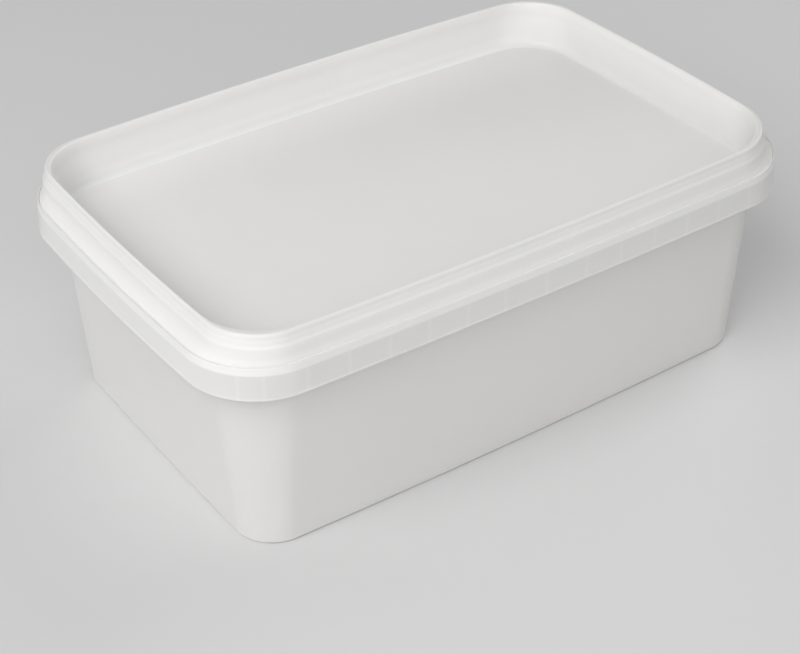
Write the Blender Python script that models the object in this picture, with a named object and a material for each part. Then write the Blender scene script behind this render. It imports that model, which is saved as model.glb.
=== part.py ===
"""Shut ice cream container: a rectangular polypropylene tub with a hanging band, and its recessed lid.

The tub stands on z = 0 with its length along X. Every level of either piece is a rounded rectangle
whose sides bow outwards a little, so each piece is one loft through a list of such levels.
"""

import math
from collections import namedtuple

import bmesh
import bpy
from mathutils import Matrix, Vector

# An outline in plan. Length and width are taken at the middles of the sides, which bow outwards by
# bow_end (short sides) and bow_side (long sides). Its corner at +X, -Y, where the lid is lifted off,
# has a radius that is larger by lift.
Outline = namedtuple("Outline", "length width corner bow_end bow_side lift", defaults=(0.0,))

# Heights above the table
BAND_FOOT_Z = 0.0632
SHELF_UNDER_Z = 0.0718
SHELF_Z = 0.0726
BAND_TOP_Z = 0.0745
FLANGE_Z = 0.0743
STEP_Z = 0.0803
CREST_Z = 0.0842
PANEL_Z = 0.0681

# Outlines of the tub
BASE = Outline(0.2018, 0.1246, 0.0134, 0.0005, 0.0016)
WALL_TOP = Outline(0.2118, 0.1324, 0.0179, 0.0020, 0.0023)
SHOULDER = Outline(0.2146, 0.1372, 0.0205, 0.0018, 0.0022)
BAND_FOOT = Outline(0.2266, 0.1444, 0.0230, 0.0024, 0.0018)
BAND_TOP = Outline(0.2260, 0.1447, 0.0238, 0.0024, 0.0022)

# Outlines of the lid
CREST = Outline(0.2155, 0.1391, 0.0173, 0.0018, 0.0022, 0.0050)
CREST_INSIDE = Outline(0.2126, 0.1358, 0.0180, 0.0019, 0.0029, 0.0050)
LID_WALL_FOOT = Outline(0.2176, 0.1414, 0.0190, 0.0016, 0.0021, 0.0050)
FLANGE = Outline(0.2236, 0.1428, 0.0238, 0.0024, 0.0023)
PANEL = Outline(0.2037, 0.1257, 0.0170, 0.0010, 0.0018)

# Tub
BASE_ROUNDING = 0.0013
SHOULDER_Z = 0.0648
SHOULDER_RISE = 0.0014
SHOULDER_START = 0.0001
BAND_THICKNESS = 0.0010
BAND_FOOT_ROUNDING = 0.0003
BAND_TOP_ROUNDING = 0.0002
BAND_INNER_CORNER = 0.0226
SHELF_FILLET = 0.0004

# Ribs between the wall and the band on the long sides, and two in each corner
FIRST_RIB_X = 0.0159
RIB_PITCH = 0.0140
RIBS_EACH_WAY = 6
RIB_THICKNESS = 0.0010
RIB_FOOT_Z = 0.0640
RIB_SINK = 0.0005
CORNER_RIB_ANGLES = (43, 62)

# Lid
CREST_ROUNDING = 0.0006
STEP_DEPTH = 0.0011
STEP_ROUNDING = 0.0004
INNER_STEP_Z = 0.0788
INNER_STEP = 0.0004
FLANGE_THICKNESS = 0.0014
FLANGE_EDGE_ROUNDING = 0.00025
FLARE_TOP_Z = 0.0788
FLARE_SLOPE = 0.84
PANEL_THICKNESS = 0.0010
LID_WALL_THICKNESS = 0.0011
PANEL_FILLET = 0.0026
CLEARANCE = 0.0003

# Steps of the curves
CORNER_STEPS = 10
LONG_SIDE_STEPS = 12
SHORT_SIDE_STEPS = 8
ROUNDING_STEPS = 3
FILLET_STEPS = 4

PLASTIC_COLOUR = (0.80, 0.80, 0.78, 1.0)
PLASTIC_ROUGHNESS = 0.45


def grown(outline, distance):
    """The outline moved outwards by a distance on every side."""
    return outline._replace(
        length=outline.length + 2 * distance,
        width=outline.width + 2 * distance,
        corner=outline.corner + distance,
    )


def between(first, second, share):
    """The outline that lies a share of the way from the first to the second."""
    return Outline(*(a + (b - a) * share for a, b in zip(first, second)))


def straight_half_sizes(outline):
    """Half length and half width of the rounded rectangle under the bows."""
    return outline.length / 2 - outline.bow_end, outline.width / 2 - outline.bow_side


def bowed(x, y, outline):
    """A point of the straight rounded rectangle, pushed out by the bow of its side."""
    half_x, half_y = straight_half_sizes(outline)
    along_end = max(0.0, 1 - (y / half_y) ** 2)
    along_side = max(0.0, 1 - (x / half_x) ** 2)
    return (
        x * (1 + outline.bow_end * along_end / half_x),
        y * (1 + outline.bow_side * along_side / half_y),
    )


def outline_points(outline):
    """Points round an outline, anticlockwise. Every outline has the same number of them."""
    half_x, half_y = straight_half_sizes(outline)
    plain, lifted = outline.corner, outline.corner + outline.lift
    corners = [(1, 1, plain), (-1, 1, plain), (-1, -1, plain), (1, -1, lifted)]
    arcs = []
    for turn, (side_x, side_y, radius) in enumerate(corners):
        centre = Vector((side_x * (half_x - radius), side_y * (half_y - radius)))
        angles = [math.radians(90 * (turn + step / CORNER_STEPS)) for step in range(CORNER_STEPS + 1)]
        arcs.append([centre + radius * Vector((math.cos(angle), math.sin(angle))) for angle in angles])
    points = []
    for turn, arc in enumerate(arcs):
        leave, arrive = arc[-1], arcs[(turn + 1) % 4][0]
        steps = SHORT_SIDE_STEPS if turn % 2 else LONG_SIDE_STEPS
        points += arc + [leave.lerp(arrive, step / steps) for step in range(1, steps)]
    return [bowed(point.x, point.y, outline) for point in points]


def loft(name, levels):
    """A closed mesh object through (outline, z) levels, capped at the first and the last."""
    mesh = bmesh.new()
    rings = [[mesh.verts.new((x, y, z)) for x, y in outline_points(outline)] for outline, z in levels]
    count = len(rings[0])
    for lower, upper in zip(rings, rings[1:]):
        for i in range(count):
            j = (i + 1) % count
            mesh.faces.new((lower[i], lower[j], upper[j], upper[i]))
    mesh.faces.new(reversed(rings[0]))
    mesh.faces.new(rings[-1])
    bmesh.ops.recalc_face_normals(mesh, faces=mesh.faces)
    data = bpy.data.meshes.new(name)
    mesh.to_mesh(data)
    mesh.free()
    return bpy.data.objects.new(name, data)


def quarter_turn(steps):
    """(sine, cosine) pairs from 0 to 90 degrees."""
    angles = [math.pi / 2 * step / steps for step in range(steps + 1)]
    return [(math.sin(angle), math.cos(angle)) for angle in angles]


def base_levels():
    """The flat base and the rounding up into the wall."""
    return [
        (grown(BASE, -BASE_ROUNDING * (1 - sine)), BASE_ROUNDING * (1 - cosine))
        for sine, cosine in quarter_turn(ROUNDING_STEPS)
    ]


def wall_levels():
    """The tapered wall, and the shoulder that widens it behind the band."""
    mid = between(BASE, WALL_TOP, 0.5)
    wide = between(WALL_TOP, SHOULDER, 0.5)
    return [
        (mid, BAND_FOOT_Z / 2),
        (WALL_TOP, BAND_FOOT_Z),
        (grown(WALL_TOP, SHOULDER_START), SHOULDER_Z),
        (wide, SHOULDER_Z + SHOULDER_RISE / 2),
        (SHOULDER, SHOULDER_Z + SHOULDER_RISE),
        (SHOULDER, SHELF_UNDER_Z - SHELF_FILLET),
        (grown(SHOULDER, SHELF_FILLET), SHELF_UNDER_Z),
    ]


def band_levels():
    """Under the shelf, down the inside of the band, round its foot, and up its outside to its top edge."""
    drop = BAND_TOP_Z - BAND_FOOT_Z
    inside_top = between(BAND_TOP, BAND_FOOT, (BAND_TOP_Z - SHELF_UNDER_Z) / drop)
    foot_inside = grown(BAND_FOOT, -BAND_THICKNESS)
    return [
        (grown(inside_top, -BAND_THICKNESS - SHELF_FILLET), SHELF_UNDER_Z),
        (grown(inside_top, -BAND_THICKNESS), SHELF_UNDER_Z - SHELF_FILLET),
        (foot_inside, BAND_FOOT_Z + BAND_FOOT_ROUNDING),
        (grown(foot_inside, BAND_FOOT_ROUNDING), BAND_FOOT_Z),
        (grown(BAND_FOOT, -BAND_FOOT_ROUNDING), BAND_FOOT_Z),
        (BAND_FOOT, BAND_FOOT_Z + BAND_FOOT_ROUNDING),
        (BAND_TOP, BAND_TOP_Z - BAND_TOP_ROUNDING),
        (grown(BAND_TOP, -BAND_TOP_ROUNDING), BAND_TOP_Z),
    ]


def mouth_levels():
    """Inside the band's top edge, in over the shelf, and down the recess that holds the lid."""
    band_inside = grown(FLANGE, CLEARANCE)._replace(corner=BAND_INNER_CORNER)
    levels = [
        (grown(band_inside, BAND_TOP_ROUNDING), BAND_TOP_Z),
        (band_inside, BAND_TOP_Z - BAND_TOP_ROUNDING),
        (band_inside, SHELF_Z),
    ]
    for outline, z in reversed(plug_levels()):
        levels.append((grown(outline, CLEARANCE), z - CLEARANCE))
    return levels


def inner_wall(z):
    """Outline of the inside of the lid's wall at a height between the panel's fillet and the inner step."""
    foot = grown(PANEL, PANEL_FILLET)
    top = grown(CREST_INSIDE, -INNER_STEP)
    foot_z = PANEL_Z + PANEL_FILLET
    return between(foot, top, (z - foot_z) / (INNER_STEP_Z - foot_z))


def plug_levels():
    """The lid's underside: the flat panel, the rounding, and the wall up to the flange."""
    under_z = PANEL_Z - PANEL_THICKNESS
    radius = PANEL_FILLET + LID_WALL_THICKNESS
    levels = [
        (grown(PANEL, radius * sine), under_z + radius * (1 - cosine))
        for sine, cosine in quarter_turn(FILLET_STEPS)
    ]
    flange_under_z = FLANGE_Z - FLANGE_THICKNESS
    levels.append((grown(inner_wall(flange_under_z), LID_WALL_THICKNESS), flange_under_z))
    return levels


def flange_levels():
    """Out under the flange, round its edge, and in up the flare to the foot of the wall."""
    rim = grown(FLANGE, -FLANGE_EDGE_ROUNDING)
    levels = [
        (FLANGE, FLANGE_Z - FLANGE_THICKNESS),
        (FLANGE, FLANGE_Z - FLANGE_EDGE_ROUNDING),
        (rim, FLANGE_Z),
    ]
    bend_z = FLANGE_Z + FLARE_SLOPE * (rim.length - LID_WALL_FOOT.length) / 2
    for step in range(1, FILLET_STEPS + 1):
        share = step / FILLET_STEPS
        rest = 1 - share
        z = FLANGE_Z * rest ** 2 + 2 * bend_z * rest * share + FLARE_TOP_Z * share ** 2
        levels.append((between(LID_WALL_FOOT, rim, rest ** 2), z))
    return levels


def raised_wall_levels():
    """Up the outside of the wall, over the step, and round the crest to the inside."""
    levels = [
        (grown(CREST, STEP_DEPTH), STEP_Z - STEP_ROUNDING),
        (grown(CREST, STEP_DEPTH - STEP_ROUNDING / 3), STEP_Z - STEP_ROUNDING / 3),
        (grown(CREST, STEP_DEPTH - STEP_ROUNDING), STEP_Z),
        (grown(CREST, STEP_ROUNDING / 3), STEP_Z + STEP_ROUNDING / 2),
        (CREST, STEP_Z + 2 * STEP_ROUNDING),
    ]
    for sine, cosine in quarter_turn(ROUNDING_STEPS):
        outline = grown(CREST, -CREST_ROUNDING * (1 - cosine))
        levels.append((outline, CREST_Z - CREST_ROUNDING * (1 - sine)))
    for sine, cosine in quarter_turn(ROUNDING_STEPS):
        outline = grown(CREST_INSIDE, CREST_ROUNDING * (1 - sine))
        levels.append((outline, CREST_Z - CREST_ROUNDING * (1 - cosine)))
    return levels


def inside_levels():
    """Down the inside of the wall, over its small step, and round the fillet on to the panel."""
    levels = [
        (grown(CREST_INSIDE, -INNER_STEP / 4), INNER_STEP_Z + 2 * INNER_STEP),
        (inner_wall(INNER_STEP_Z), INNER_STEP_Z),
    ]
    for sine, cosine in reversed(quarter_turn(FILLET_STEPS)):
        levels.append((grown(PANEL, PANEL_FILLET * sine), PANEL_Z + PANEL_FILLET * (1 - cosine)))
    return levels


def rib_boxes(name):
    """One mesh object of upright plates, each from inside the tub's wall to inside the band."""
    wall_x, wall_y = straight_half_sizes(SHOULDER)
    band_x, band_y = straight_half_sizes(BAND_FOOT)
    mesh = bmesh.new()
    steps_out = [FIRST_RIB_X + k * RIB_PITCH for k in range(RIBS_EACH_WAY)]
    for x in [-x for x in steps_out] + [0.0] + steps_out:
        begin = bowed(x, wall_y, SHOULDER)[1] - RIB_SINK
        end = bowed(x, band_y, BAND_FOOT)[1] - BAND_THICKNESS + RIB_SINK
        for heading in (90, -90):
            add_plate(mesh, Vector((x, 0, 0)), heading, begin, end)
    centre = Vector((band_x - BAND_FOOT.corner, band_y - BAND_FOOT.corner, 0))
    step_in = centre - Vector((wall_x - SHOULDER.corner, wall_y - SHOULDER.corner, 0))
    for angle in CORNER_RIB_ANGLES:
        along = Vector((math.cos(math.radians(angle)), math.sin(math.radians(angle)), 0))
        begin = SHOULDER.corner - step_in.dot(along) - RIB_SINK
        end = BAND_FOOT.corner - BAND_THICKNESS + RIB_SINK
        for side_x, side_y in ((1, 1), (-1, 1), (-1, -1), (1, -1)):
            origin = Vector((side_x * centre.x, side_y * centre.y, 0))
            heading = math.degrees(math.atan2(side_y * along.y, side_x * along.x))
            add_plate(mesh, origin, heading, begin, end)
    data = bpy.data.meshes.new(name)
    mesh.to_mesh(data)
    mesh.free()
    return bpy.data.objects.new(name, data)


def add_plate(mesh, origin, heading, begin, end):
    """A plate that stands along a heading in degrees, from begin to end metres away from its origin."""
    top_z = SHELF_UNDER_Z + RIB_SINK
    size = Matrix.Diagonal((end - begin, RIB_THICKNESS, top_z - RIB_FOOT_Z, 1))
    centre = Matrix.Translation(((begin + end) / 2, 0, (top_z + RIB_FOOT_Z) / 2))
    turn = Matrix.Rotation(math.radians(heading), 4, "Z")
    bmesh.ops.create_cube(mesh, size=1, matrix=Matrix.Translation(origin) @ turn @ centre @ size)


def union(target, addition):
    """Joins the addition to the target with an exact Boolean."""
    modifier = target.modifiers.new("ribs", "BOOLEAN")
    modifier.operation = "UNION"
    modifier.solver = "EXACT"
    modifier.object = addition
    addition.hide_render = True
    addition.display_type = "WIRE"


def plastic(name):
    """White, slightly translucent polypropylene."""
    material = bpy.data.materials.new(name)
    material.use_nodes = True
    shader = material.node_tree.nodes["Principled BSDF"]
    shader.inputs["Base Color"].default_value = PLASTIC_COLOUR
    shader.inputs["Roughness"].default_value = PLASTIC_ROUGHNESS
    shader.inputs["Metallic"].default_value = 0.0
    material.diffuse_color = PLASTIC_COLOUR
    return material


def clear_scene():
    for obj in list(bpy.data.objects):
        bpy.data.objects.remove(obj)


def collection(name):
    made = bpy.data.collections.new(name)
    bpy.context.scene.collection.children.link(made)
    return made


def main():
    clear_scene()
    container = collection("ice_cream_container")
    helpers = collection("helpers")

    tub = loft("tub", base_levels() + wall_levels() + band_levels() + mouth_levels())
    ribs = rib_boxes("band_ribs")
    union(tub, ribs)
    lid = loft("lid", plug_levels() + flange_levels() + raised_wall_levels() + inside_levels())

    container.objects.link(tub)
    container.objects.link(lid)
    helpers.objects.link(ribs)
    for piece in (tub, lid):
        piece.data.materials.append(plastic(piece.name + "_plastic"))
        piece.data.shade_smooth()
        piece.data.set_sharp_from_angle(angle=math.radians(40))


main()
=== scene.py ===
"""Looks of the shut ice cream container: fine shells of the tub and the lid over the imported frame."""

import math
from collections import namedtuple

import bmesh
import bpy
from mathutils import Matrix, Vector


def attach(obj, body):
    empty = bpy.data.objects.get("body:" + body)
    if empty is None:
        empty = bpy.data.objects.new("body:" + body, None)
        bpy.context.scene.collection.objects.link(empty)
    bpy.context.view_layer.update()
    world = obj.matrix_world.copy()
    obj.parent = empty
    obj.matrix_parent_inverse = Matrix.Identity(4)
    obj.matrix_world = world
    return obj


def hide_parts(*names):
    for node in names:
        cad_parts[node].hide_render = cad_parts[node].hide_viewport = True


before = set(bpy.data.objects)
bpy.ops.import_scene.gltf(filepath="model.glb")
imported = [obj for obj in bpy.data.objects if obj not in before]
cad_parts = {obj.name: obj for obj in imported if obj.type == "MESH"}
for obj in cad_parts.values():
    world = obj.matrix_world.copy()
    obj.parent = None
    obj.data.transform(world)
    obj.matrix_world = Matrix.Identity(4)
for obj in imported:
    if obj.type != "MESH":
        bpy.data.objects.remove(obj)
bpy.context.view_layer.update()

# ---------------------------------------------------------------- sizes, as in the part's source, in metres
Outline = namedtuple("Outline", "length width corner bow_end bow_side lift", defaults=(0.0,))

BAND_FOOT_Z = 0.0632
SHELF_UNDER_Z = 0.0718
SHELF_Z = 0.0726
BAND_TOP_Z = 0.0745
FLANGE_Z = 0.0743
STEP_Z = 0.0803
CREST_Z = 0.0842
PANEL_Z = 0.0681

BASE = Outline(0.2018, 0.1246, 0.0134, 0.0005, 0.0016)
WALL_TOP = Outline(0.2118, 0.1324, 0.0179, 0.0020, 0.0023)
SHOULDER = Outline(0.2146, 0.1372, 0.0205, 0.0018, 0.0022)
BAND_FOOT = Outline(0.2266, 0.1444, 0.0230, 0.0024, 0.0018)
BAND_TOP = Outline(0.2260, 0.1447, 0.0238, 0.0024, 0.0022)
CREST = Outline(0.2155, 0.1391, 0.0173, 0.0018, 0.0022, 0.0050)
CREST_INSIDE = Outline(0.2126, 0.1358, 0.0180, 0.0019, 0.0029, 0.0050)
LID_WALL_FOOT = Outline(0.2176, 0.1414, 0.0190, 0.0016, 0.0021, 0.0050)
FLANGE = Outline(0.2236, 0.1428, 0.0238, 0.0024, 0.0023)
PANEL = Outline(0.2037, 0.1257, 0.0170, 0.0010, 0.0018)

BASE_ROUNDING = 0.0013
SHOULDER_Z = 0.0648
SHOULDER_RISE = 0.0014
SHOULDER_START = 0.0001
BAND_THICKNESS = 0.0010
BAND_TOP_ROUNDING = 0.0002
BAND_INNER_CORNER = 0.0226
SHELF_FILLET = 0.0004
INNER_STEP_Z = 0.0788
INNER_STEP = 0.0004
FLANGE_THICKNESS = 0.0014
FLARE_TOP_Z = 0.0788
FLARE_SLOPE = 0.84
PANEL_THICKNESS = 0.0010
LID_WALL_THICKNESS = 0.0011
PANEL_FILLET = 0.0026
CLEARANCE = 0.0003

FIRST_RIB_X = 0.0159
RIB_PITCH = 0.0140
RIBS_EACH_WAY = 6
RIB_THICKNESS = 0.0010
RIB_FOOT_Z = 0.0640
RIB_SINK = 0.0005
CORNER_RIB_ANGLES = (43, 62)

# Edges and steps that are a little softer or sharper here than in the solids
BAND_FOOT_ROUNDING = 0.0004
CREST_ROUNDING = 0.0007
CREST_DROP = 0.0012
CREST_LEAN_IN = 0.0003
CREST_ROLL_IN = 0.0035
STEP_OUT = 0.0010
STEP_IN = 0.0004
STEP_HEIGHT = 0.0015
INNER_STEP_HEIGHT = 3 * INNER_STEP
FLANGE_EDGE_ROUNDING = 0.00015
FLANGE_REACH = 0.0002
MOUTH_BEVEL = 0.3

# Fine relief that the solids leave out
LEDGE = 0.00018
LEDGE_Z = 0.0821
LEDGE_HEIGHT = 0.0006
FOOT_BEAD = 0.00012
FOOT_BEAD_HEIGHT = 0.0006
BEAD_FADE = 1.5
BAND_BEND_Z = 0.0720
BAND_LEAN = 0.00015
PANEL_CROWN = 0.0007
BASE_RECESS = 0.0004
BASE_RIM = 0.0060

# Tones of the plastic, then the painted light and shade: shares that make the colour lighter or darker
# where light falls on the plastic and through it
TUB_TONE = (0.850, 0.842, 0.832)
LID_TONE = (0.880, 0.872, 0.860)
RIB_PAINTED_LIGHT = 0.25
BAND_PAINTED_LIGHT = 0.12
BAND_PAINTED_SHADE = 0.10
END_BAND_PAINTED_LIGHT = 0.04
CORNER_BAND_PAINTED_SHADE = 0.05
FAR_END_PAINTED_SHADE = 0.04
FIN_PAINTED_LIGHT = 0.035
FIN_EDGE_PAINTED_SHADE = 0.16
FOOT_PAINTED_HIGHLIGHT = 0.03
WALL_PAINTED_LIGHT = 0.03
END_PAINTED_SHADOW = 0.06
CORNER_PAINTED_SHADE = 0.035
INSIDE_PAINTED_LIGHT = 0.075
INSIDE_TOP_PAINTED_LIGHT = 0.030
END_WALL_PAINTED_SHADE = 0.070
FILLET_PAINTED_HIGHLIGHT = 0.035
OUTSIDE_PAINTED_LIGHT = 0.065
FLANGE_PAINTED_HIGHLIGHT = 0.050
CREST_PAINTED_SHADE = 0.045
PANEL_PAINTED_SHADE = 0.085

# Where a tone starts and where it is full. Pairs are (start, full), in metres from what their name
# says, and a blur is how far the edge of a mask reaches.
RIB_BLUR = 0.0010
REGION_BLUR = 0.0001
BAND_FACE_DEPTH = (0.0010, 0.0006)
BAND_FOOT_BLUR = 0.0003
SHELF_BLUR = 0.0004
FIN_EDGE_BELOW_TOP = (0.00030, 0.00005)
END_BLUR = 0.0040
CORNER_BLUR = 0.0100
FOOT_PAINTED_HIGHLIGHT_ABOVE = (0.0008, 0.0004)
WALL_PAINTED_LIGHT_Z = (0.0520, 0.0600)
FAR_END_X = (0.0200, 0.1150)
RAISED_ABOVE_PANEL = (0.0001, 0.0010)
LOW_ABOVE_PANEL = (0.0040, 0.0020)
FILLET_ABOVE_PANEL = (0.0050, 0.0030)
PANEL_SHADE_PLACE = (-0.0100, 0.0700)
PANEL_SHADE_TURN = 0.3
LID_END_X = (0.0880, 0.1000)
FLANGE_PAINTED_HIGHLIGHT_ABOVE = (0.0028, 0.0004)
CREST_BELOW_TOP = (0.0010, 0.0002)

# Dot product of a normal on the lid and its place from the middle, where the face's tone is full
LOOKS_IN = -0.0150
LOOKS_OUT = 0.03

# The plastic: (scale, detail, roughness) of each noise, and how strongly it shows
CLOUD_NOISE = (38.0, 4.0, 0.5)
CLOUD_TONE = 0.985
SMEAR_NOISE = (90.0, 5.0, 0.6)
SMEAR_ROUGHNESS = (0.30, 0.40)
GRAIN_NOISE = (1400.0, 2.0, 0.5)
GRAIN_STRENGTH = 0.35
GRAIN_HEIGHT = 0.00002
WAVE_NOISE = (22.0, 1.0, 0.5)
WAVE_STRENGTH = 1.0
WAVE_HEIGHT = 0.0004
NOISE_SPREAD = (0.3, 0.7)
TRANSLUCENCY = 0.001
TRANSLUCENCY_RADIUS = (1.0, 0.97, 0.93)
THIN_SHARE = 0.80
PLASTIC_IOR = 1.49
SHARP_ANGLE = 35

# Steps of the curves
CORNER_STEPS = 28
LONG_SIDE_STEPS = 44
SHORT_SIDE_STEPS = 28
ROUNDING_STEPS = 5
CREST_STEPS = 6
FILLET_STEPS = 10
WALL_STEPS = 14
BAND_STEPS = 16
STEP_STEPS = 10
LEDGE_STEPS = 4
INNER_STEP_STEPS = 4
INNER_WALL_STEPS = 6
PANEL_RINGS = 16
BASE_RING_SHARES = (0.05, 0.5)

# ---------------------------------------------------------------- camera, lights, floor
CAMERA_PLACE = Vector((-0.29900, -0.42912, 0.37622))
CAMERA_AZIMUTH = -34.373
CAMERA_ELEVATION = 34.977
CAMERA_ROLL = -0.729
CAMERA_LENS_MM = 81.64
SENSOR_WIDTH_MM = 36.0
SOFTBOX_SIZE = 1.1
SOFTBOX_DISTANCE = 1.6
LIGHT_AIM_Z = 0.05
SOFTBOXES = [
    ("front", 245, 30, 6.1),
    ("left", 200, 45, 14.1),
    ("right", 10, 40, 6.2),
    ("back", 105, 40, 1.5),
]
WORLD_STRENGTH = 0.20
FLOOR_SIZE = 6.0
FLOOR_TONES = (0.74, 0.76)
FLOOR_NOISE = (3.0, 3.0, 0.5)
FLOOR_ROUGHNESS = 0.7

# Sockets of the colour mix node
MIX_FIRST = 6
MIX_SECOND = 7
MIX_RESULT = 2


def ease(share):
    """A share from 0 to 1 that starts and ends slowly."""
    return share * share * (3 - 2 * share)


def grown(outline, distance):
    """The outline moved outwards by a distance on every side."""
    return outline._replace(
        length=outline.length + 2 * distance,
        width=outline.width + 2 * distance,
        corner=outline.corner + distance,
    )


def between(first, second, share):
    """The outline that lies a share of the way from the first to the second."""
    return Outline(*(a + (b - a) * share for a, b in zip(first, second)))


def scaled(outline, share):
    """The outline shrunk towards its middle."""
    return Outline(*(value * share for value in outline))


def straight_half_sizes(outline):
    """Half length and half width of the rounded rectangle under the bows."""
    return outline.length / 2 - outline.bow_end, outline.width / 2 - outline.bow_side


def bowed(x, y, outline):
    """A point of the straight rounded rectangle, pushed out by the bow of its side."""
    half_x, half_y = straight_half_sizes(outline)
    along_end = max(0.0, 1 - (y / half_y) ** 2)
    along_side = max(0.0, 1 - (x / half_x) ** 2)
    return (
        x * (1 + outline.bow_end * along_end / half_x),
        y * (1 + outline.bow_side * along_side / half_y),
    )


def outline_points(outline):
    """Points round an outline, anticlockwise. Every outline has the same number of them."""
    half_x, half_y = straight_half_sizes(outline)
    plain, lifted = outline.corner, outline.corner + outline.lift
    corners = [(1, 1, plain), (-1, 1, plain), (-1, -1, plain), (1, -1, lifted)]
    arcs = []
    for turn, (side_x, side_y, radius) in enumerate(corners):
        centre = Vector((side_x * (half_x - radius), side_y * (half_y - radius)))
        angles = [math.radians(90 * (turn + step / CORNER_STEPS)) for step in range(CORNER_STEPS + 1)]
        arcs.append([centre + radius * Vector((math.cos(angle), math.sin(angle))) for angle in angles])
    points = []
    for turn, arc in enumerate(arcs):
        leave, arrive = arc[-1], arcs[(turn + 1) % 4][0]
        steps = SHORT_SIDE_STEPS if turn % 2 else LONG_SIDE_STEPS
        points += arc + [leave.lerp(arrive, step / steps) for step in range(1, steps)]
    return [bowed(point.x, point.y, outline) for point in points]


def loft(name, levels):
    """A closed mesh object through (outline, z) levels, capped at the first and the last."""
    mesh = bmesh.new()
    rings = [[mesh.verts.new((x, y, z)) for x, y in outline_points(outline)] for outline, z in levels]
    count = len(rings[0])
    for lower, upper in zip(rings, rings[1:]):
        for i in range(count):
            j = (i + 1) % count
            mesh.faces.new((lower[i], lower[j], upper[j], upper[i]))
    mesh.faces.new(reversed(rings[0]))
    mesh.faces.new(rings[-1])
    bmesh.ops.recalc_face_normals(mesh, faces=mesh.faces)
    return object_from(name, mesh)


def object_from(name, mesh):
    """A new object in the scene that holds the mesh."""
    data = bpy.data.meshes.new(name)
    mesh.to_mesh(data)
    mesh.free()
    obj = bpy.data.objects.new(name, data)
    bpy.context.scene.collection.objects.link(obj)
    return obj


def quarter_turn(steps):
    """(sine, cosine) pairs from 0 to 90 degrees."""
    angles = [math.pi / 2 * step / steps for step in range(steps + 1)]
    return [(math.sin(angle), math.cos(angle)) for angle in angles]


# ---------------------------------------------------------------- tub
def base_levels():
    """The underside with its shallow recess, and the rounding up into the wall."""
    flat = grown(BASE, -BASE_ROUNDING)
    inner = grown(BASE, -BASE_RIM)
    levels = [(scaled(inner, share), BASE_RECESS) for share in BASE_RING_SHARES]
    levels += [
        (grown(inner, -BASE_RECESS), BASE_RECESS),
        (inner, BASE_RECESS / 2),
        (grown(inner, BASE_RECESS), 0.0),
    ]
    levels += [
        (grown(flat, BASE_ROUNDING * sine), BASE_ROUNDING * (1 - cosine))
        for sine, cosine in quarter_turn(ROUNDING_STEPS)
    ]
    return levels


def wall_levels():
    """The tapered wall, and the shoulder that widens it behind the band."""
    rise = BAND_FOOT_Z - BASE_ROUNDING
    levels = []
    for step in range(1, WALL_STEPS + 1):
        share = step / WALL_STEPS
        levels.append((between(BASE, WALL_TOP, share), BASE_ROUNDING + rise * share))
    start = grown(WALL_TOP, SHOULDER_START)
    levels.append((start, SHOULDER_Z))
    for step in range(1, ROUNDING_STEPS + 1):
        share = step / ROUNDING_STEPS
        levels.append((between(start, SHOULDER, ease(share)), SHOULDER_Z + SHOULDER_RISE * share))
    levels.append((SHOULDER, (SHOULDER_Z + SHOULDER_RISE + SHELF_UNDER_Z) / 2))
    for sine, cosine in quarter_turn(ROUNDING_STEPS):
        outline = grown(SHOULDER, SHELF_FILLET * (1 - cosine))
        levels.append((outline, SHELF_UNDER_Z - SHELF_FILLET * (1 - sine)))
    return levels


def band_levels():
    """Under the shelf, down the inside of the band, round its foot, and up its outside to its top edge."""
    drop = BAND_TOP_Z - BAND_FOOT_Z
    inside_top = between(BAND_TOP, BAND_FOOT, (BAND_TOP_Z - SHELF_UNDER_Z) / drop)
    half = BAND_THICKNESS / 2
    levels = []
    for sine, cosine in quarter_turn(ROUNDING_STEPS):
        outline = grown(inside_top, -BAND_THICKNESS - SHELF_FILLET * (1 - sine))
        levels.append((outline, SHELF_UNDER_Z - SHELF_FILLET * (1 - cosine)))
    steps = 2 * ROUNDING_STEPS
    for step in range(steps + 1):
        angle = math.pi * step / steps
        outline = grown(BAND_FOOT, -half - half * math.cos(angle))
        levels.append((outline, BAND_FOOT_Z + BAND_FOOT_ROUNDING * (1 - math.sin(angle))))
    bead_share = FOOT_BEAD_HEIGHT / drop
    levels.append((between(BAND_FOOT, BAND_TOP, bead_share), BAND_FOOT_Z + FOOT_BEAD_HEIGHT))
    face_share = BEAD_FADE * bead_share
    bend_share = (BAND_BEND_Z - BAND_FOOT_Z) / drop
    for step in range(BAND_STEPS):
        share = face_share + (1 - face_share) * step / BAND_STEPS
        lean = BAND_LEAN * max(0.0, share - bend_share) / (1 - bend_share)
        face = grown(between(BAND_FOOT, BAND_TOP, share), -FOOT_BEAD - lean)
        levels.append((face, BAND_FOOT_Z + drop * share))
    for sine, cosine in quarter_turn(ROUNDING_STEPS):
        outline = grown(BAND_TOP, -FOOT_BEAD - BAND_LEAN - BAND_TOP_ROUNDING * (1 - cosine))
        levels.append((outline, BAND_TOP_Z - BAND_TOP_ROUNDING * (1 - sine)))
    return levels


def mouth_levels():
    """Inside the band's top edge, in over the shelf, and down the recess that holds the lid."""
    band_inside = grown(FLANGE, CLEARANCE)._replace(corner=BAND_INNER_CORNER)
    rounding = BAND_TOP_ROUNDING / 2
    levels = [
        (grown(band_inside, rounding), BAND_TOP_Z),
        (grown(band_inside, rounding * MOUTH_BEVEL), BAND_TOP_Z - rounding * MOUTH_BEVEL),
        (band_inside, BAND_TOP_Z - rounding),
        (band_inside, SHELF_Z),
    ]
    for outline, z in reversed(plug_levels()):
        levels.append((grown(outline, CLEARANCE), z - CLEARANCE))
    return levels


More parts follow.
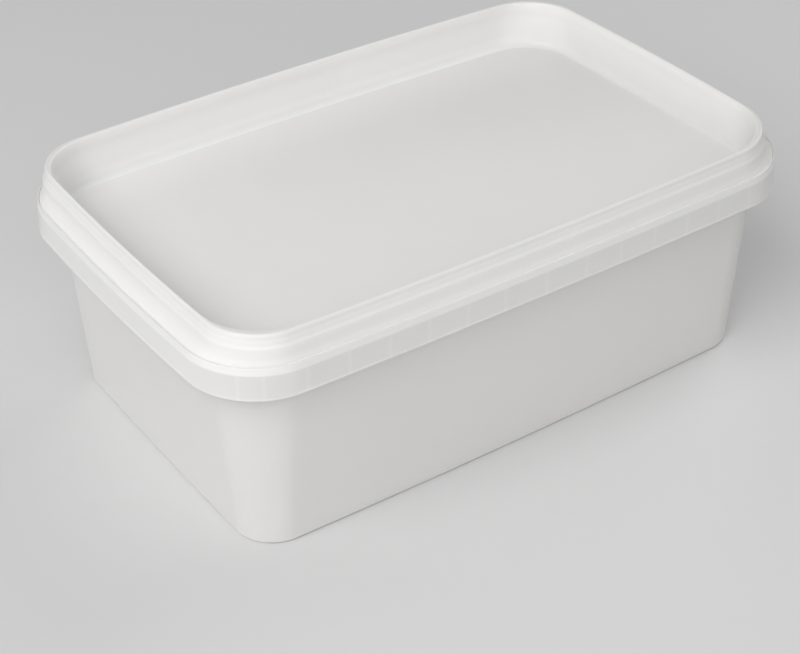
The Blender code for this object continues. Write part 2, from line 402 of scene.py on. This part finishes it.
def rib_boxes(name):
    """One mesh object of upright plates, each from inside the tub's wall to inside the band."""
    wall_x, wall_y = straight_half_sizes(SHOULDER)
    band_x, band_y = straight_half_sizes(BAND_FOOT)
    mesh = bmesh.new()
    steps_out = [FIRST_RIB_X + k * RIB_PITCH for k in range(RIBS_EACH_WAY)]
    for x in [-x for x in steps_out] + [0.0] + steps_out:
        begin = bowed(x, wall_y, SHOULDER)[1] - RIB_SINK
        end = bowed(x, band_y, BAND_FOOT)[1] - BAND_THICKNESS + RIB_SINK
        for heading in (90, -90):
            add_plate(mesh, Vector((x, 0, 0)), heading, begin, end)
    centre = Vector((band_x - BAND_FOOT.corner, band_y - BAND_FOOT.corner, 0))
    step_in = centre - Vector((wall_x - SHOULDER.corner, wall_y - SHOULDER.corner, 0))
    for angle in CORNER_RIB_ANGLES:
        along = Vector((math.cos(math.radians(angle)), math.sin(math.radians(angle)), 0))
        begin = SHOULDER.corner - step_in.dot(along) - RIB_SINK
        end = BAND_FOOT.corner - BAND_THICKNESS + RIB_SINK
        for side_x, side_y in ((1, 1), (-1, 1), (-1, -1), (1, -1)):
            origin = Vector((side_x * centre.x, side_y * centre.y, 0))
            heading = math.degrees(math.atan2(side_y * along.y, side_x * along.x))
            add_plate(mesh, origin, heading, begin, end)
    return object_from(name, mesh)


def add_plate(mesh, origin, heading, begin, end):
    """A plate that stands along a heading in degrees, from begin to end metres away from its origin."""
    top_z = SHELF_UNDER_Z + RIB_SINK
    size = Matrix.Diagonal((end - begin, RIB_THICKNESS, top_z - RIB_FOOT_Z, 1))
    centre = Matrix.Translation(((begin + end) / 2, 0, (top_z + RIB_FOOT_Z) / 2))
    turn = Matrix.Rotation(math.radians(heading), 4, "Z")
    bmesh.ops.create_cube(mesh, size=1, matrix=Matrix.Translation(origin) @ turn @ centre @ size)


def joined(target, addition):
    """The target with the addition fused to it, as a plain mesh; the addition is removed."""
    modifier = target.modifiers.new("join", "BOOLEAN")
    modifier.operation = "UNION"
    modifier.solver = "EXACT"
    modifier.object = addition
    graph = bpy.context.evaluated_depsgraph_get()
    data = bpy.data.meshes.new_from_object(target.evaluated_get(graph))
    target.modifiers.clear()
    target.data = data
    bpy.data.objects.remove(addition)
    return target


def make_tub():
    """The tub's shell with its ribs fused in."""
    tub = loft("tub_shell", base_levels() + wall_levels() + band_levels() + mouth_levels())
    return joined(tub, rib_boxes("ribs"))


# ---------------------------------------------------------------- lid
def inner_wall(z):
    """Outline of the inside of the lid's wall at a height between the panel's fillet and the inner step."""
    foot = grown(PANEL, PANEL_FILLET)
    top = grown(CREST_INSIDE, -INNER_STEP)
    foot_z = PANEL_Z + PANEL_FILLET
    return between(foot, top, (z - foot_z) / (INNER_STEP_Z - foot_z))


def plug_levels():
    """The lid's underside: the flat panel, the rounding, and the wall up to the flange."""
    under_z = PANEL_Z - PANEL_THICKNESS
    radius = PANEL_FILLET + LID_WALL_THICKNESS
    levels = [
        (grown(PANEL, radius * sine), under_z + radius * (1 - cosine))
        for sine, cosine in quarter_turn(FILLET_STEPS)
    ]
    flange_under_z = FLANGE_Z - FLANGE_THICKNESS
    levels.append((grown(inner_wall(flange_under_z), LID_WALL_THICKNESS), flange_under_z))
    return levels


def flange_levels():
    """Out under the flange, round its edge, and in up the flare to the foot of the wall."""
    edge = grown(FLANGE, FLANGE_REACH)._replace(corner=BAND_INNER_CORNER - CLEARANCE + FLANGE_REACH)
    levels = [(edge, FLANGE_Z - FLANGE_THICKNESS)]
    for sine, cosine in quarter_turn(ROUNDING_STEPS):
        outline = grown(edge, -FLANGE_EDGE_ROUNDING * (1 - cosine))
        levels.append((outline, FLANGE_Z - FLANGE_EDGE_ROUNDING * (1 - sine)))
    rim = grown(edge, -FLANGE_EDGE_ROUNDING)
    bend_z = FLANGE_Z + FLARE_SLOPE * (rim.length - LID_WALL_FOOT.length) / 2
    for step in range(1, FILLET_STEPS + 1):
        share = 1 - step / FILLET_STEPS
        z = FLANGE_Z * share ** 2 + 2 * bend_z * share * (1 - share) + FLARE_TOP_Z * (1 - share) ** 2
        levels.append((between(LID_WALL_FOOT, rim, share ** 2), z))
    return levels


def raised_wall_levels():
    """Up the outside of the wall, over the step, and round the crest to the inside."""
    levels = []
    for step in range(STEP_STEPS + 1):
        share = step / STEP_STEPS
        outline = grown(CREST, STEP_OUT + (STEP_IN - STEP_OUT) * ease(share))
        levels.append((outline, STEP_Z + STEP_HEIGHT * (share - 0.5)))
    for step in range(LEDGE_STEPS + 1):
        share = step / LEDGE_STEPS
        levels.append((grown(CREST, LEDGE * (1 - ease(share))), LEDGE_Z + LEDGE_HEIGHT * (share - 0.5)))
    for sine, cosine in quarter_turn(CREST_STEPS):
        outline = grown(CREST, -CREST_ROUNDING * (1 - cosine))
        levels.append((outline, CREST_Z - CREST_DROP * (1 - sine)))
    for sine, cosine in quarter_turn(2 * CREST_STEPS):
        outline = grown(CREST_INSIDE, CREST_ROUNDING - (CREST_ROUNDING + CREST_LEAN_IN) * sine)
        levels.append((outline, CREST_Z - CREST_ROLL_IN * (1 - cosine)))
    return levels


def inside_levels():
    """Down the inside of the wall, over its small step, and round the fillet on to the panel."""
    inside = grown(CREST_INSIDE, -CREST_LEAN_IN)
    levels = []
    for step in range(INNER_STEP_STEPS + 1):
        share = step / INNER_STEP_STEPS
        outline = between(inside, inner_wall(INNER_STEP_Z), ease(share))
        levels.append((outline, INNER_STEP_Z + INNER_STEP_HEIGHT * (1 - share)))
    for step in range(1, INNER_WALL_STEPS):
        share = step / INNER_WALL_STEPS
        z = INNER_STEP_Z + (PANEL_Z + PANEL_FILLET - INNER_STEP_Z) * share
        levels.append((inner_wall(z), z))
    for sine, cosine in reversed(quarter_turn(FILLET_STEPS)):
        levels.append((grown(PANEL, PANEL_FILLET * sine), PANEL_Z + PANEL_FILLET * (1 - cosine)))
    for step in range(1, PANEL_RINGS):
        share = 1 - step / PANEL_RINGS
        levels.append((scaled(PANEL, share), PANEL_Z + PANEL_CROWN * (1 - share * share)))
    return levels


def make_lid():
    """The lid's shell."""
    return loft("lid_shell", plug_levels() + flange_levels() + raised_wall_levels() + inside_levels())


# ---------------------------------------------------------------- plastic
def add_node(tree, kind, inputs=None, **settings):
    """A new node with its settings; an input is a value, or a socket to link."""
    node = tree.nodes.new(kind)
    for key, value in settings.items():
        setattr(node, key, value)
    for key, value in (inputs or {}).items():
        if isinstance(value, bpy.types.NodeSocket):
            tree.links.new(value, node.inputs[key])
        else:
            node.inputs[key].default_value = value
    return node


def noise(tree, place, scale, detail, roughness):
    """Soft noise over the object, in its own coordinates."""
    return add_node(
        tree, "ShaderNodeTexNoise",
        {"Vector": place, "Scale": scale, "Detail": detail, "Roughness": roughness},
    ).outputs["Fac"]


def spread(tree, value, low, high):
    """Noise stretched from its usual spread to the range from low to high."""
    from_low, from_high = NOISE_SPREAD
    return add_node(
        tree, "ShaderNodeMapRange",
        {"Value": value, "From Min": from_low, "From Max": from_high, "To Min": low, "To Max": high},
    ).outputs["Result"]


def smooth(tree, value, off, on):
    """0 at off, 1 at on, eased between them."""
    return add_node(
        tree, "ShaderNodeMapRange",
        {"Value": value, "From Min": off, "From Max": on, "To Min": 0.0, "To Max": 1.0},
        interpolation_type="SMOOTHSTEP",
    ).outputs["Result"]


def math_node(tree, operation, first, second=0.0):
    """The result of one sum, product or other operation."""
    return add_node(tree, "ShaderNodeMath", {0: first, 1: second}, operation=operation).outputs[0]


def product(tree, *factors):
    """All the factors multiplied together."""
    result = factors[0]
    for factor in factors[1:]:
        result = math_node(tree, "MULTIPLY", result, factor)
    return result


def rest_of(tree, mask):
    """The mask turned round: 1 where it is 0."""
    return math_node(tree, "SUBTRACT", 1.0, mask)


def mixed(tree, factor, first, second):
    """The colour that lies a factor of the way from the first to the second."""
    return add_node(
        tree, "ShaderNodeMix", {"Factor": factor, MIX_FIRST: first, MIX_SECOND: second}, data_type="RGBA"
    ).outputs[MIX_RESULT]


def scaled_colour(tree, colour, share):
    """The colour times a share."""
    return add_node(
        tree, "ShaderNodeVectorMath", {0: colour, "Scale": share}, operation="SCALE"
    ).outputs[0]


def grey(value):
    """A neutral opaque colour."""
    return (value, value, value, 1.0)


def rib_mask(tree, x, out_x, out_y):
    """1 in front of a rib, 0 between the ribs."""
    away = math_node(tree, "ABSOLUTE", x)
    turns = math_node(tree, "DIVIDE", math_node(tree, "SUBTRACT", away, FIRST_RIB_X), RIB_PITCH)
    nearest = math_node(tree, "MAXIMUM", math_node(tree, "ROUND", turns), 0.0)
    off_turn = math_node(tree, "ABSOLUTE", math_node(tree, "SUBTRACT", turns, nearest))
    off_rib = math_node(tree, "MINIMUM", math_node(tree, "MULTIPLY", off_turn, RIB_PITCH), away)
    past_y = smooth(tree, out_y, 0.0, REGION_BLUR)
    long_side = product(tree, smooth(tree, out_x, 0.0, -REGION_BLUR), past_y)
    in_corner = product(tree, smooth(tree, out_x, 0.0, REGION_BLUR), past_y)
    mask = product(tree, smooth(tree, off_rib, RIB_BLUR, RIB_THICKNESS / 4), long_side)
    for angle in CORNER_RIB_ANGLES:
        along_y = math_node(tree, "MULTIPLY", out_y, math.cos(math.radians(angle)))
        along_x = math_node(tree, "MULTIPLY", out_x, math.sin(math.radians(angle)))
        off_plane = math_node(tree, "ABSOLUTE", math_node(tree, "SUBTRACT", along_y, along_x))
        plate = product(tree, smooth(tree, off_plane, RIB_BLUR, RIB_THICKNESS / 4), in_corner)
        mask = math_node(tree, "MAXIMUM", mask, plate)
    return mask


def tub_tones(tree, place):
    """(mask, tone) pairs of painted light and shade, and the mask of thin sheet: the hanging band, which
    lets light through, is painted darker where air is behind it, and other parts of the band and wall are
    painted lighter or darker for how light falls.
    """
    band_x, band_y = straight_half_sizes(BAND_FOOT)
    x, y, z = add_node(tree, "ShaderNodeSeparateXYZ", {0: place}).outputs
    out_x = math_node(tree, "SUBTRACT", math_node(tree, "ABSOLUTE", x), band_x - BAND_FOOT.corner)
    out_y = math_node(tree, "SUBTRACT", math_node(tree, "ABSOLUTE", y), band_y - BAND_FOOT.corner)
    squares = [
        math_node(tree, "POWER", math_node(tree, "MAXIMUM", out, 0.0), 2.0)
        for out in (out_x, out_y)
    ]
    reach = math_node(tree, "POWER", math_node(tree, "ADD", *squares), 0.5)
    face = smooth(tree, reach, *[BAND_FOOT.corner - depth for depth in BAND_FACE_DEPTH])

    whole = product(tree, face, smooth(tree, z, BAND_FOOT_Z - BAND_FOOT_BLUR, BAND_FOOT_Z))
    below_shelf = smooth(tree, z, SHELF_UNDER_Z + SHELF_BLUR, SHELF_UNDER_Z - SHELF_BLUR)
    above_shelf = smooth(tree, z, SHELF_UNDER_Z - SHELF_BLUR, SHELF_UNDER_Z + SHELF_BLUR)
    hanging = product(tree, whole, below_shelf)
    # painted shade on the hanging band where air is behind it, less of it in front of the ribs, so they
    # show as painted lighter lines
    behind = math_node(tree, "MULTIPLY", rib_mask(tree, x, out_x, out_y), RIB_PAINTED_LIGHT)
    painted_gap_shade = product(tree, hanging, rest_of(tree, behind))
    fin = product(tree, whole, above_shelf)
    fin_edge = product(tree, whole, smooth(tree, z, *[BAND_TOP_Z - below for below in FIN_EDGE_BELOW_TOP]))
    at_end = smooth(tree, out_y, END_BLUR, -END_BLUR)
    at_corner = product(tree, smooth(tree, out_x, 0.0, CORNER_BLUR), smooth(tree, out_y, 0.0, CORNER_BLUR))
    # painted highlight along the foot of the band
    foot = product(tree, hanging, smooth(tree, z, *[BAND_FOOT_Z + above for above in FOOT_PAINTED_HIGHLIGHT_ABOVE]))
    off_face = rest_of(tree, face)
    # painted light on the tub's wall just under the band, where the band's shadow falls
    wall = product(tree, off_face, smooth(tree, z, *WALL_PAINTED_LIGHT_Z))
    tones = (
        # painted light: the band's face lighter all over
        (whole, 1 + BAND_PAINTED_LIGHT),
        # painted light: the band's upper part over the shelf lighter still
        (fin, 1 + FIN_PAINTED_LIGHT),
        # painted shade: the band's top edge darker
        (fin_edge, 1 - FIN_EDGE_PAINTED_SHADE),
        # painted shade: the hanging band darker where air is behind it, except in front of the ribs
        (painted_gap_shade, 1 - BAND_PAINTED_SHADE),
        # painted light: the hanging band lighter at the ends
        (product(tree, hanging, at_end), 1 + END_BAND_PAINTED_LIGHT),
        # painted shade: the hanging band darker at the corners
        (product(tree, hanging, at_corner), 1 - CORNER_BAND_PAINTED_SHADE),
        # painted highlight: a lighter line along the band's foot
        (foot, 1 + FOOT_PAINTED_HIGHLIGHT),
        # painted light: the shadow on the wall under the band made lighter
        (wall, 1 + WALL_PAINTED_LIGHT),
        # painted shadow of the band on the wall at the ends
        (product(tree, wall, at_end), 1 - END_PAINTED_SHADOW),
        # painted shade: the tub's corners darker, except on the band's face
        (product(tree, off_face, at_corner), 1 - CORNER_PAINTED_SHADE),
        # painted shade: darker towards the +x end
        (smooth(tree, x, *FAR_END_X), 1 - FAR_END_PAINTED_SHADE),
    )
    return tones, fin


def lid_tones(tree, place):
    """(mask, tone) pairs of painted light and shade, and the mask of thin sheet: the raised wall is painted
    lighter than the panel, and the panel is painted darker towards its far side.
    """
    x, y, z = add_node(tree, "ShaderNodeSeparateXYZ", {0: place}).outputs
    flat_place = add_node(tree, "ShaderNodeCombineXYZ", {0: x, 1: y}).outputs[0]
    facing = add_node(tree, "ShaderNodeNewGeometry").outputs["Normal"]
    outwards = add_node(
        tree, "ShaderNodeVectorMath", {0: facing, 1: flat_place}, operation="DOT_PRODUCT"
    ).outputs["Value"]
    from_middle = math_node(tree, "ABSOLUTE", x)
    fillet_top_z = PANEL_Z + PANEL_FILLET
    raised_z, raised_full_z = [PANEL_Z + above for above in RAISED_ABOVE_PANEL]

    raised = smooth(tree, z, raised_z, raised_full_z)
    thin = smooth(tree, z, raised_full_z, fillet_top_z)
    inside = smooth(tree, outwards, 0.0, LOOKS_IN)
    inside_top = product(tree, inside, smooth(tree, z, fillet_top_z, CREST_Z))
    outside = product(tree, raised, smooth(tree, outwards, 0.0, LOOKS_OUT))
    end_foot = product(
        tree, inside,
        smooth(tree, from_middle, *LID_END_X),
        smooth(tree, z, CREST_Z, fillet_top_z),
    )
    # painted shade: the panel darker towards its far side
    away = math_node(tree, "ADD", y, math_node(tree, "MULTIPLY", x, PANEL_SHADE_TURN))
    low = smooth(tree, z, *[PANEL_Z + above for above in LOW_ABOVE_PANEL])
    flat = product(tree, rest_of(tree, inside), low, smooth(tree, away, *PANEL_SHADE_PLACE))
    # painted highlight on the fillet at the foot of the inside wall, away from the ends
    fillet = product(
        tree, inside,
        smooth(tree, from_middle, *reversed(LID_END_X)),
        smooth(tree, z, *[PANEL_Z + above for above in FILLET_ABOVE_PANEL]),
        smooth(tree, z, PANEL_Z, fillet_top_z),
    )
    # painted highlight along the flange and the foot of the flare
    flange = product(tree, outside, smooth(tree, z, *[FLANGE_Z + above for above in FLANGE_PAINTED_HIGHLIGHT_ABOVE]))
    tones = (
        # painted shade: the panel darker towards its far side
        (flat, 1 - PANEL_PAINTED_SHADE),
        # painted light: the inside of the raised wall lighter
        (inside, 1 + INSIDE_PAINTED_LIGHT),
        # painted shade: the inside of the wall darker low down at the ends
        (end_foot, 1 - END_WALL_PAINTED_SHADE),
        # painted highlight: the inside fillet lighter
        (fillet, 1 + FILLET_PAINTED_HIGHLIGHT),
        # painted light: the upper inside of the wall lighter still
        (inside_top, 1 + INSIDE_TOP_PAINTED_LIGHT),
        # painted light: the outside of the raised wall lighter
        (outside, 1 + OUTSIDE_PAINTED_LIGHT),
        # painted highlight: the flange lighter
        (flange, 1 + FLANGE_PAINTED_HIGHLIGHT),
        # painted shade: the top of the crest darker
        (smooth(tree, z, *[CREST_Z - below for below in CREST_BELOW_TOP]), 1 - CREST_PAINTED_SHADE),
        # painted shade: darker towards the +x end
        (smooth(tree, x, *FAR_END_X), 1 - FAR_END_PAINTED_SHADE),
    )
    return tones, thin


def new_material(name):
    """A material, its node tree, its shader, and the socket of the place on the object."""
    material = bpy.data.materials.new(name)
    material.use_nodes = True
    tree = material.node_tree
    place = add_node(tree, "ShaderNodeTexCoord").outputs["Object"]
    return material, tree, tree.nodes["Principled BSDF"], place


def plastic(name, tone, tones_of):
    """Satin polypropylene: cloudy tone, painted light and shade, fine mould grain, slow waves in the sheet,
    light that soaks in.
    """
    material, tree, shader, place = new_material(name)
    darker = [value * CLOUD_TONE for value in tone]
    colour = mixed(tree, noise(tree, place, *CLOUD_NOISE), (*darker, 1.0), (*tone, 1.0))
    tones, thin = tones_of(tree, place)
    # Painted light and shade: each mask makes the colour lighter or darker by its share
    for mask, share in tones:
        colour = mixed(tree, mask, colour, scaled_colour(tree, colour, share))
    tree.links.new(colour, shader.inputs["Base Color"])

    smear = noise(tree, place, *SMEAR_NOISE)
    tree.links.new(spread(tree, smear, *SMEAR_ROUGHNESS), shader.inputs["Roughness"])

    grain = noise(tree, place, *GRAIN_NOISE)
    wave = noise(tree, place, *WAVE_NOISE)
    sheet = add_node(
        tree, "ShaderNodeBump", {"Height": wave, "Strength": WAVE_STRENGTH, "Distance": WAVE_HEIGHT}
    ).outputs["Normal"]
    fine = add_node(
        tree, "ShaderNodeBump",
        {"Height": grain, "Strength": GRAIN_STRENGTH, "Distance": GRAIN_HEIGHT, "Normal": sheet},
    ).outputs["Normal"]
    tree.links.new(fine, shader.inputs["Normal"])

    soaking = rest_of(tree, math_node(tree, "MULTIPLY", thin, THIN_SHARE))
    tree.links.new(soaking, shader.inputs["Subsurface Weight"])
    shader.inputs["Subsurface Radius"].default_value = TRANSLUCENCY_RADIUS
    shader.inputs["Subsurface Scale"].default_value = TRANSLUCENCY
    shader.inputs["IOR"].default_value = PLASTIC_IOR
    return material


def floor_material():
    """A plain pale floor with a slight change of tone."""
    material, tree, shader, place = new_material("pale_floor")
    colour = mixed(tree, noise(tree, place, *FLOOR_NOISE), *[grey(tone) for tone in FLOOR_TONES])
    tree.links.new(colour, shader.inputs["Base Color"])
    shader.inputs["Roughness"].default_value = FLOOR_ROUGHNESS
    return material


# ---------------------------------------------------------------- stage
def make_camera():
    """The camera, from its place and the way it looks."""
    azimuth, elevation = math.radians(CAMERA_AZIMUTH), math.radians(CAMERA_ELEVATION)
    data = bpy.data.cameras.new("camera")
    data.lens = CAMERA_LENS_MM
    data.sensor_width = SENSOR_WIDTH_MM
    data.sensor_fit = "HORIZONTAL"
    camera = bpy.data.objects.new("camera", data)
    turn = Matrix.Rotation(azimuth, 4, "Z")
    tilt = Matrix.Rotation(math.pi / 2 - elevation, 4, "X")
    roll = Matrix.Rotation(math.radians(CAMERA_ROLL), 4, "Z")
    camera.matrix_world = Matrix.Translation(CAMERA_PLACE) @ turn @ tilt @ roll
    bpy.context.scene.collection.objects.link(camera)
    bpy.context.scene.camera = camera


def add_softbox(name, azimuth, elevation, watts):
    """A square soft light on the middle of the container, from a bearing and a height in degrees."""
    across, up = math.radians(azimuth), math.radians(elevation)
    away = Vector((math.cos(across) * math.cos(up), math.sin(across) * math.cos(up), math.sin(up)))
    data = bpy.data.lights.new(name, "AREA")
    data.size = SOFTBOX_SIZE
    data.energy = watts
    light = bpy.data.objects.new(name, data)
    light.location = away * SOFTBOX_DISTANCE + Vector((0, 0, LIGHT_AIM_Z))
    light.rotation_euler = away.to_track_quat("Z", "Y").to_euler()
    bpy.context.scene.collection.objects.link(light)


def make_stage():
    """The floor, the soft boxes and the even light of the studio."""
    mesh = bmesh.new()
    bmesh.ops.create_grid(mesh, x_segments=1, y_segments=1, size=FLOOR_SIZE)
    floor = object_from("floor", mesh)
    floor.data.materials.append(floor_material())
    world = bpy.data.worlds.new("studio")
    world.use_nodes = True
    background = world.node_tree.nodes["Background"]
    background.inputs["Color"].default_value = grey(1.0)
    background.inputs["Strength"].default_value = WORLD_STRENGTH
    bpy.context.scene.world = world
    for name, azimuth, elevation, watts in SOFTBOXES:
        add_softbox(name, azimuth, elevation, watts)
    bpy.context.scene.view_settings.view_transform = "Standard"


def dress(piece, node, material):
    """Gives the piece its material, and shows it in the place of its node."""
    piece.data.materials.clear()
    piece.data.materials.append(material)
    piece.data.shade_smooth()
    piece.data.set_sharp_from_angle(angle=math.radians(SHARP_ANGLE))
    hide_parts(node)
    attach(piece, "root")


def main():
    """The whole scene."""
    make_camera()
    tub_plastic = plastic("tub_plastic", TUB_TONE, tub_tones)
    lid_plastic = plastic("lid_plastic", LID_TONE, lid_tones)
    dress(make_tub(), "tub", tub_plastic)
    dress(make_lid(), "lid", lid_plastic)
    make_stage()


main()
